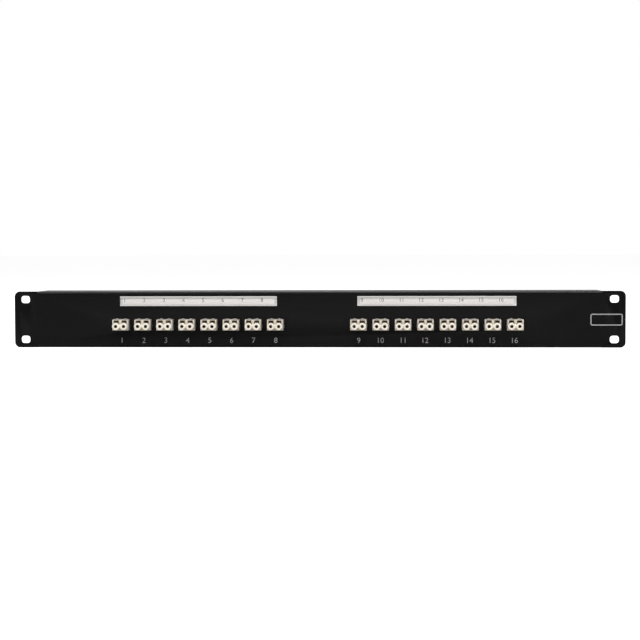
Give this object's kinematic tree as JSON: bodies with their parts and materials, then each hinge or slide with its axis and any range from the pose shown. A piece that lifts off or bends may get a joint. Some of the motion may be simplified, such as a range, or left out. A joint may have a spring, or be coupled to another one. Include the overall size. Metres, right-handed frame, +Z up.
{
  "type": "fibre patch panel",
  "caption": "Folded black rack panel with rows of capped duplex fibre couplers held by spring clips, and clear label strips whose cards slide out.",
  "frame": {"origin": "below the middle of the whole assembly's box, at the level of the panel's lower edge", "axes": "+X to the right along the panel seen from the front, +Y from the front into the rack, +Z up"},
  "size_m": [0.4826, 0.0494, 0.0444],
  "materials": {
    "powder_coat": "satin black powder coat",
    "coupler_plastic": "moulded beige plastic",
    "cap_plastic": "soft moulded cream plastic",
    "spring_steel": "bare spring steel",
    "clear_plastic": "clear extruded plastic",
    "card": "uncoated printed card"
  },
  "bodies": {
    "panel": {"front_panel": "powder_coat", "adapter_01": "coupler_plastic", "adapter_02": "coupler_plastic", "adapter_03": "coupler_plastic", "adapter_04": "coupler_plastic", "adapter_05": "coupler_plastic", "adapter_06": "coupler_plastic", "adapter_07": "coupler_plastic", "adapter_08": "coupler_plastic", "adapter_09": "coupler_plastic", "adapter_10": "coupler_plastic", "adapter_11": "coupler_plastic", "adapter_12": "coupler_plastic", "adapter_13": "coupler_plastic", "adapter_14": "coupler_plastic", "adapter_15": "coupler_plastic", "adapter_16": "coupler_plastic", "clip_01": "spring_steel", "clip_02": "spring_steel", "clip_03": "spring_steel", "clip_04": "spring_steel", "clip_05": "spring_steel", "clip_06": "spring_steel", "clip_07": "spring_steel", "clip_08": "spring_steel", "clip_09": "spring_steel", "clip_10": "spring_steel", "clip_11": "spring_steel", "clip_12": "spring_steel", "clip_13": "spring_steel", "clip_14": "spring_steel", "clip_15": "spring_steel", "clip_16": "spring_steel", "label_holder_left": "clear_plastic", "label_holder_right": "clear_plastic"},
    "dust_cap_01": {"dust_cap_01": "cap_plastic"},
    "dust_cap_02": {"dust_cap_02": "cap_plastic"},
    "dust_cap_03": {"dust_cap_03": "cap_plastic"},
    "dust_cap_04": {"dust_cap_04": "cap_plastic"},
    "dust_cap_05": {"dust_cap_05": "cap_plastic"},
    "dust_cap_06": {"dust_cap_06": "cap_plastic"},
    "dust_cap_07": {"dust_cap_07": "cap_plastic"},
    "dust_cap_08": {"dust_cap_08": "cap_plastic"},
    "dust_cap_09": {"dust_cap_09": "cap_plastic"},
    "dust_cap_10": {"dust_cap_10": "cap_plastic"},
    "dust_cap_11": {"dust_cap_11": "cap_plastic"},
    "dust_cap_12": {"dust_cap_12": "cap_plastic"},
    "dust_cap_13": {"dust_cap_13": "cap_plastic"},
    "dust_cap_14": {"dust_cap_14": "cap_plastic"},
    "dust_cap_15": {"dust_cap_15": "cap_plastic"},
    "dust_cap_16": {"dust_cap_16": "cap_plastic"},
    "label_card_left": {"label_card_left": "card"},
    "label_card_right": {"label_card_right": "card"}
  },
  "joints": [
    {"name": "dust_cap_01_pull", "type": "slide", "parent": "panel", "child": "dust_cap_01", "axis": [0, -1, 0], "range_m": [0, 0.012]},
    {"name": "dust_cap_02_pull", "type": "slide", "parent": "panel", "child": "dust_cap_02", "axis": [0, -1, 0], "range_m": [0, 0.012]},
    {"name": "dust_cap_03_pull", "type": "slide", "parent": "panel", "child": "dust_cap_03", "axis": [0, -1, 0], "range_m": [0, 0.012]},
    {"name": "dust_cap_04_pull", "type": "slide", "parent": "panel", "child": "dust_cap_04", "axis": [0, -1, 0], "range_m": [0, 0.012]},
    {"name": "dust_cap_05_pull", "type": "slide", "parent": "panel", "child": "dust_cap_05", "axis": [0, -1, 0], "range_m": [0, 0.012]},
    {"name": "dust_cap_06_pull", "type": "slide", "parent": "panel", "child": "dust_cap_06", "axis": [0, -1, 0], "range_m": [0, 0.012]},
    {"name": "dust_cap_07_pull", "type": "slide", "parent": "panel", "child": "dust_cap_07", "axis": [0, -1, 0], "range_m": [0, 0.012]},
    {"name": "dust_cap_08_pull", "type": "slide", "parent": "panel", "child": "dust_cap_08", "axis": [0, -1, 0], "range_m": [0, 0.012]},
    {"name": "dust_cap_09_pull", "type": "slide", "parent": "panel", "child": "dust_cap_09", "axis": [0, -1, 0], "range_m": [0, 0.012]},
    {"name": "dust_cap_10_pull", "type": "slide", "parent": "panel", "child": "dust_cap_10", "axis": [0, -1, 0], "range_m": [0, 0.012]},
    {"name": "dust_cap_11_pull", "type": "slide", "parent": "panel", "child": "dust_cap_11", "axis": [0, -1, 0], "range_m": [0, 0.012]},
    {"name": "dust_cap_12_pull", "type": "slide", "parent": "panel", "child": "dust_cap_12", "axis": [0, -1, 0], "range_m": [0, 0.012]},
    {"name": "dust_cap_13_pull", "type": "slide", "parent": "panel", "child": "dust_cap_13", "axis": [0, -1, 0], "range_m": [0, 0.012]},
    {"name": "dust_cap_14_pull", "type": "slide", "parent": "panel", "child": "dust_cap_14", "axis": [0, -1, 0], "range_m": [0, 0.012]},
    {"name": "dust_cap_15_pull", "type": "slide", "parent": "panel", "child": "dust_cap_15", "axis": [0, -1, 0], "range_m": [0, 0.012]},
    {"name": "dust_cap_16_pull", "type": "slide", "parent": "panel", "child": "dust_cap_16", "axis": [0, -1, 0], "range_m": [0, 0.012]},
    {"name": "label_card_left_slide", "type": "slide", "parent": "panel", "child": "label_card_left", "axis": [-1, 0, 0], "range_m": [0, 0.123]},
    {"name": "label_card_right_slide", "type": "slide", "parent": "panel", "child": "label_card_right", "axis": [1, 0, 0], "range_m": [0, 0.123]}
  ]
}
